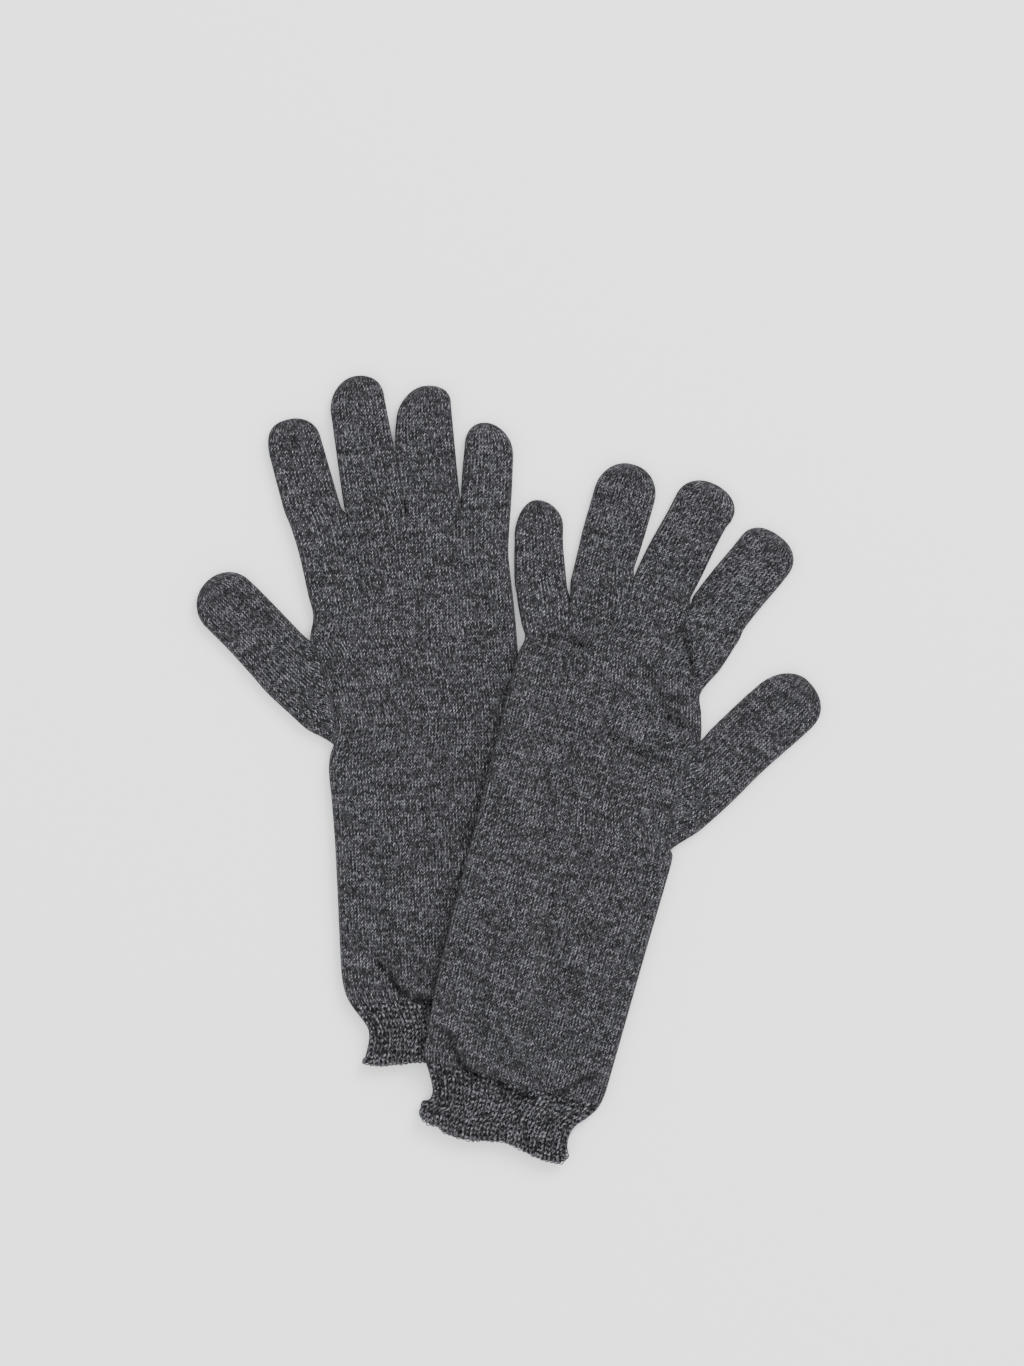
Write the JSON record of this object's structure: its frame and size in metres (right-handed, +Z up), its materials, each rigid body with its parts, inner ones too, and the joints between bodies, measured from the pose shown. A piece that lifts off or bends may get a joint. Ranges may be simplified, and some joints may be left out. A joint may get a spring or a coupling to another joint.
{
  "type": "pair of knitted gloves",
  "caption": "A pair of long knitted gloves lying flat with the fingers spread, one resting on the other's sleeve, with ribbed elastic cuffs and an overlocked hem.",
  "frame": {"origin": "middle of the pair's plan bounding box, on the surface that the gloves lie on", "axes": "+Z up from the surface, +Y along the gloves towards the fingertips, +X to the right as seen from above"},
  "size_m": [0.2848, 0.3602, 0.0188],
  "materials": {
    "plain_knit": "matte charcoal marl yarn in plain knitting",
    "rib_knit": "matte charcoal marl yarn in one-by-one rib",
    "hem_thread": "matte charcoal overlock thread",
    "elastic_thread": "matte covered elastic thread"
  },
  "bodies": {
    "left_glove": {"left_hand": "plain_knit", "left_sleeve": "plain_knit", "left_rib_cuff": "rib_knit", "left_cuff_elastic": "elastic_thread", "left_cuff_hem": "hem_thread"},
    "right_glove": {"right_sleeve": "plain_knit", "right_rib_cuff": "rib_knit", "right_cuff_elastic": "elastic_thread", "right_cuff_hem": "hem_thread"},
    "right_hand_body": {"right_hand": "plain_knit"},
    "left_index_body": {"left_index_finger": "plain_knit"},
    "left_middle_body": {"left_middle_finger": "plain_knit"},
    "left_ring_body": {"left_ring_finger": "plain_knit"},
    "left_little_body": {"left_little_finger": "plain_knit"},
    "left_thumb_body": {"left_thumb": "plain_knit"},
    "right_index_body": {"right_index_finger": "plain_knit"},
    "right_middle_body": {"right_middle_finger": "plain_knit"},
    "right_ring_body": {"right_ring_finger": "plain_knit"},
    "right_little_body": {"right_little_finger": "plain_knit"},
    "right_thumb_body": {"right_thumb": "plain_knit"}
  },
  "joints": [
    {"name": "left_index_finger_curl", "type": "hinge", "parent": "left_glove", "child": "left_index_body", "pos_m": [-0.08612, 0.11353, 0.0078], "axis": [0.9731, 0.2303, 0], "range_deg": [0, 90]},
    {"name": "left_middle_finger_curl", "type": "hinge", "parent": "left_glove", "child": "left_middle_body", "pos_m": [-0.06032, 0.11751, 0.0078], "axis": [0.9968, 0.0802, 0], "range_deg": [0, 90]},
    {"name": "left_ring_finger_curl", "type": "hinge", "parent": "left_glove", "child": "left_ring_body", "pos_m": [-0.03387, 0.12041, 0.0078], "axis": [0.9902, 0.1398, 0], "range_deg": [0, 90]},
    {"name": "left_little_finger_curl", "type": "hinge", "parent": "left_glove", "child": "left_little_body", "pos_m": [-0.00955, 0.12153, 0.0078], "axis": [0.9982, -0.0608, 0], "range_deg": [0, 90]},
    {"name": "left_thumb_curl", "type": "hinge", "parent": "left_glove", "child": "left_thumb_body", "pos_m": [-0.08174, 0.03494, 0.0078], "axis": [-0.2168, 0.9762, 0], "range_deg": [0, 90]},
    {"name": "right_glove_lift", "type": "slide", "parent": "left_glove", "child": "right_glove", "axis": [0, 0, 1], "range_m": [0, 0.12]},
    {"name": "right_wrist_bend", "type": "hinge", "parent": "right_glove", "child": "right_hand_body", "pos_m": [0.03302, -0.02962, 0.0168], "axis": [0.9659, -0.2588, 0], "range_deg": [0, 60]},
    {"name": "right_index_finger_curl", "type": "hinge", "parent": "right_hand_body", "child": "right_index_body", "pos_m": [0.09422, 0.06512, 0.0078], "axis": [0.7773, -0.6291, 0], "range_deg": [0, 90]},
    {"name": "right_middle_finger_curl", "type": "hinge", "parent": "right_hand_body", "child": "right_middle_body", "pos_m": [0.07053, 0.08063, 0.0078], "axis": [0.8854, -0.4648, 0], "range_deg": [0, 90]},
    {"name": "right_ring_finger_curl", "type": "hinge", "parent": "right_hand_body", "child": "right_ring_body", "pos_m": [0.04429, 0.09108, 0.0078], "axis": [0.964, -0.2658, 0], "range_deg": [0, 90]},
    {"name": "right_little_finger_curl", "type": "hinge", "parent": "right_hand_body", "child": "right_little_body", "pos_m": [0.01655, 0.07775, 0.0078], "axis": [0.9983, 0.0586, 0], "range_deg": [0, 90]},
    {"name": "right_thumb_curl", "type": "hinge", "parent": "right_hand_body", "child": "right_thumb_body", "pos_m": [0.07892, -0.01132, 0.0078], "axis": [-0.2551, -0.9669, 0], "range_deg": [0, 90]}
  ]
}
